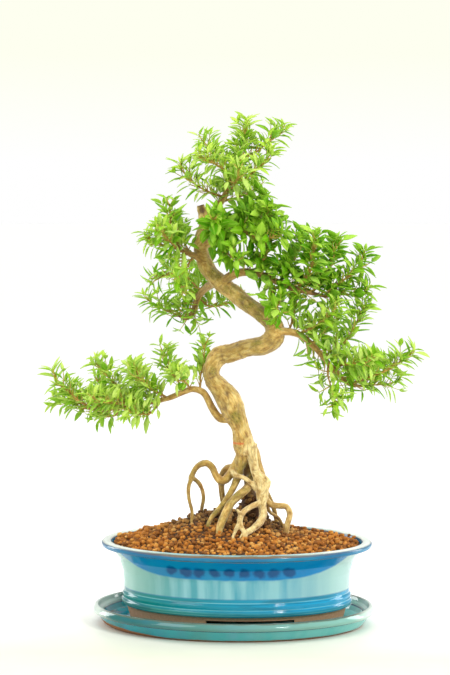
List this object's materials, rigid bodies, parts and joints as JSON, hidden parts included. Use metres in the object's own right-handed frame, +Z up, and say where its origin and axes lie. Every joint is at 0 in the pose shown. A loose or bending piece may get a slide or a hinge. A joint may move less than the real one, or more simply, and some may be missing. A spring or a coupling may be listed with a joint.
{
  "type": "serissa bonsai",
  "caption": "Serissa bonsai with an S-shaped trunk on exposed roots, airy leafy branches, heaped granular soil, and an oval glazed pot that stands on a drip tray.",
  "frame": {"origin": "on the plane of the tray's flat underside, below the middle of the pot", "axes": "+Z up, +X along the oval towards the side of the lower right branch, -Y towards the front"},
  "size_m": [0.3644, 0.2112, 0.4851],
  "materials": {
    "teal_glaze": "gloss",
    "blue_glaze": "gloss",
    "screen_plastic": "matte",
    "baked_clay": "matte",
    "bark": "matte",
    "green_leaf": "satin"
  },
  "bodies": {
    "root": {"drip_tray": "teal_glaze", "pot": "blue_glaze", "drain_screen_left": "screen_plastic", "drain_screen_right": "screen_plastic", "soil": "baked_clay", "trunk": "bark", "spray_lowLeft_1": "green_leaf", "spray_lowLeft_2": "green_leaf", "spray_lowLeft_3": "green_leaf", "spray_lowLeft_4": "green_leaf", "spray_lowLeft_5": "green_leaf", "spray_lowLeft_6": "green_leaf", "spray_lowLeft_7": "green_leaf", "spray_lowLeft_8": "green_leaf", "spray_lowLeft_9": "green_leaf", "spray_lowLeft_10": "green_leaf", "spray_lowLeft_11": "green_leaf", "spray_lowLeft_12": "green_leaf", "spray_midRight_1": "green_leaf", "spray_midRight_2": "green_leaf", "spray_midRight_3": "green_leaf", "spray_midRight_4": "green_leaf", "spray_midRight_5": "green_leaf", "spray_midRight_6": "green_leaf", "spray_midRight_7": "green_leaf", "spray_lowRight_1": "green_leaf", "spray_lowRight_2": "green_leaf", "spray_lowRight_3": "green_leaf", "spray_lowRight_4": "green_leaf", "spray_lowRight_5": "green_leaf", "spray_lowRight_6": "green_leaf", "spray_lowRight_7": "green_leaf", "spray_lowRight_8": "green_leaf", "spray_lowRight_9": "green_leaf", "spray_backLeft_1": "green_leaf", "spray_backLeft_2": "green_leaf", "spray_backLeft_3": "green_leaf", "spray_backLeft_4": "green_leaf", "spray_upLeft_1": "green_leaf", "spray_upLeft_2": "green_leaf", "spray_upLeft_3": "green_leaf", "spray_upLeft_4": "green_leaf", "spray_upLeft_5": "green_leaf", "spray_upLeft_6": "green_leaf", "spray_upMid_1": "green_leaf", "spray_upMid_2": "green_leaf", "spray_upMid_3": "green_leaf", "spray_upMid_4": "green_leaf", "spray_upMid_5": "green_leaf", "spray_upMid_6": "green_leaf", "spray_leader_1": "green_leaf", "spray_leader_2": "green_leaf", "spray_leader_3": "green_leaf", "spray_leader_4": "green_leaf", "spray_leader_5": "green_leaf", "spray_leader_6": "green_leaf", "spray_leader_7": "green_leaf", "spray_leader_8": "green_leaf"}
  },
  "joints": []
}
